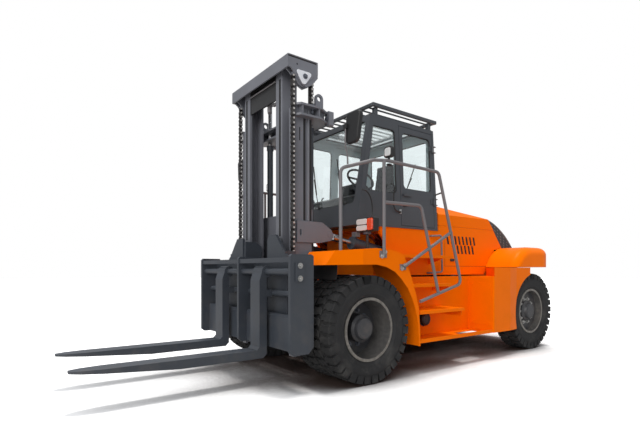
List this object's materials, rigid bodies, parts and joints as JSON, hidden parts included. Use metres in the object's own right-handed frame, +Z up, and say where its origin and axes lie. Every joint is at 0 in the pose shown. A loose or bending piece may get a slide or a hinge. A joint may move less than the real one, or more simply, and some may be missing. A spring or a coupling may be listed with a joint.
{
  "type": "diesel counterbalance forklift",
  "caption": "Heavy diesel forklift with an enclosed cab, two-stage chain mast, tilting carriage with sliding forks, twin front wheels and steered rear wheels.",
  "frame": {"origin": "on the ground under the middle of the truck's box, from the counterweight to the fork tips", "axes": "+X forward to the fork tips, +Y to the driver's left, +Z up"},
  "size_m": [6.75, 2.7, 3.4679],
  "materials": {
    "orange_paint": "semi-gloss orange enamel",
    "grey_paint": "satin dark grey enamel",
    "rim_paint": "satin dark grey enamel on the wheels",
    "tyre": "matte black tyre rubber",
    "steel": "bare machined steel",
    "chain_steel": "oiled chain steel",
    "black_plastic": "matte black plastic",
    "glass": "tinted safety glass",
    "seat_cloth": "dark seat cloth",
    "engine_iron": "cast iron"
  },
  "bodies": {
    "chassis": {"chassis_frame": "grey_paint", "front_axle": "grey_paint", "steer_axle": "grey_paint", "front_fenders": "orange_paint", "side_tanks": "orange_paint", "body_sides": "orange_paint", "engine": "engine_iron", "counterweight": "orange_paint", "cab_shell": "grey_paint", "cab_glass": "glass", "overhead_guard": "grey_paint", "cab_fittings": "black_plastic", "seat_cushions": "seat_cloth", "handrails": "grey_paint", "lamps_and_mirrors": "black_plastic"},
    "hood": {"hood": "orange_paint", "rear_grille": "grey_paint"},
    "door_left": {"door_left": "grey_paint", "door_glass_left": "glass"},
    "door_right": {"door_right": "grey_paint", "door_glass_right": "glass"},
    "steering_wheel": {"steering_wheel": "black_plastic"},
    "front_wheels_left": {"tyres_front_left": "tyre", "rims_front_left": "rim_paint"},
    "front_wheels_right": {"tyres_front_right": "tyre", "rims_front_right": "rim_paint"},
    "knuckle_left": {"knuckle_left": "grey_paint"},
    "knuckle_right": {"knuckle_right": "grey_paint"},
    "rear_wheel_left": {"tyre_rear_left": "tyre", "rim_rear_left": "rim_paint"},
    "rear_wheel_right": {"tyre_rear_right": "tyre", "rim_rear_right": "rim_paint"},
    "outer_mast": {"mast_outer_channels": "grey_paint", "mast_outer_crossmembers": "grey_paint", "lift_barrels": "grey_paint", "chains_rear": "chain_steel"},
    "inner_mast": {"mast_inner_channels": "grey_paint", "crosshead": "grey_paint", "lift_rods": "steel", "chains_front": "chain_steel"},
    "carriage": {"carriage": "grey_paint"},
    "fork_left": {"fork_left": "grey_paint"},
    "fork_right": {"fork_right": "grey_paint"},
    "tilt_barrels": {"tilt_barrels": "grey_paint"},
    "tilt_rods": {"tilt_rods": "steel"}
  },
  "joints": [
    {"name": "steer_left", "type": "hinge", "parent": "chassis", "child": "knuckle_left", "pos_m": [-2.685, 0.78, 0.568], "axis": [0, 0, 1], "range_deg": [-55, 55]},
    {"name": "steer_right", "type": "hinge", "parent": "chassis", "child": "knuckle_right", "pos_m": [-2.685, -0.78, 0.568], "axis": [0, 0, 1], "range_deg": [-55, 55]},
    {"name": "rear_wheel_left_spin", "type": "hinge", "parent": "knuckle_left", "child": "rear_wheel_left", "pos_m": [-2.685, 1, 0.568], "axis": [0, 1, 0], "continuous": true},
    {"name": "rear_wheel_right_spin", "type": "hinge", "parent": "knuckle_right", "child": "rear_wheel_right", "pos_m": [-2.685, -1, 0.568], "axis": [0, 1, 0], "continuous": true},
    {"name": "front_wheels_left_spin", "type": "hinge", "parent": "chassis", "child": "front_wheels_left", "pos_m": [0.725, 0.9325, 0.568], "axis": [0, 1, 0], "continuous": true},
    {"name": "front_wheels_right_spin", "type": "hinge", "parent": "chassis", "child": "front_wheels_right", "pos_m": [0.725, -0.9325, 0.568], "axis": [0, 1, 0], "continuous": true},
    {"name": "steering_wheel_turn", "type": "hinge", "parent": "chassis", "child": "steering_wheel", "pos_m": [-0.225, 0, 2.43], "axis": [-0.5736, 0, 0.8192], "range_deg": [-900, 900]},
    {"name": "door_left_open", "type": "hinge", "parent": "chassis", "child": "door_left", "pos_m": [-0.936, 0.729, 1.72], "axis": [0, -0.0438, 0.999], "range_deg": [0, 160]},
    {"name": "door_right_open", "type": "hinge", "parent": "chassis", "child": "door_right", "pos_m": [-0.936, -0.729, 1.72], "axis": [0, -0.0438, -0.999], "range_deg": [0, 160]},
    {"name": "hood_open", "type": "hinge", "parent": "chassis", "child": "hood", "pos_m": [-2.945, 0, 1.503], "axis": [0, -1, 0], "range_deg": [0, 45]},
    {"name": "mast_tilt", "type": "hinge", "parent": "chassis", "child": "outer_mast", "pos_m": [0.725, 0, 0.568], "axis": [0, -1, 0], "range_deg": [-6, 10]},
    {"name": "mast_lift", "type": "slide", "parent": "outer_mast", "child": "inner_mast", "axis": [0, 0, 1], "range_m": [-0.125, 1.375], "deforming": ["chains_front", "chains_rear"]},
    {"name": "carriage_lift", "type": "slide", "parent": "inner_mast", "child": "carriage", "axis": [0, 0, 1], "range_m": [-0.125, 1.375]},
    {"name": "fork_left_shift", "type": "slide", "parent": "carriage", "child": "fork_left", "axis": [0, 1, 0], "range_m": [-0.29, 0.45]},
    {"name": "fork_right_shift", "type": "slide", "parent": "carriage", "child": "fork_right", "axis": [0, -1, 0], "range_m": [-0.29, 0.45]},
    {"name": "tilt_barrels_swing", "type": "hinge", "parent": "chassis", "child": "tilt_barrels", "pos_m": [-0.175, 0, 1.395], "axis": [0, -1, 0], "range_deg": [-1.5, 2.5]},
    {"name": "tilt_rods_slide", "type": "slide", "parent": "tilt_barrels", "child": "tilt_rods", "axis": [0.9814, 0, 0.1922], "range_m": [-0.176, 0.106]}
  ],
  "couplings": [
    {"joint": "steer_right", "follows": "steer_left", "ratio": 1},
    {"joint": "steering_wheel_turn", "follows": "steer_left", "ratio": -16.36},
    {"joint": "carriage_lift", "follows": "mast_lift", "ratio": 1},
    {"joint": "tilt_barrels_swing", "follows": "mast_tilt", "ratio": 0.235},
    {"joint": "tilt_rods_slide", "follows": "mast_tilt", "m_per_rad": -0.9855}
  ]
}
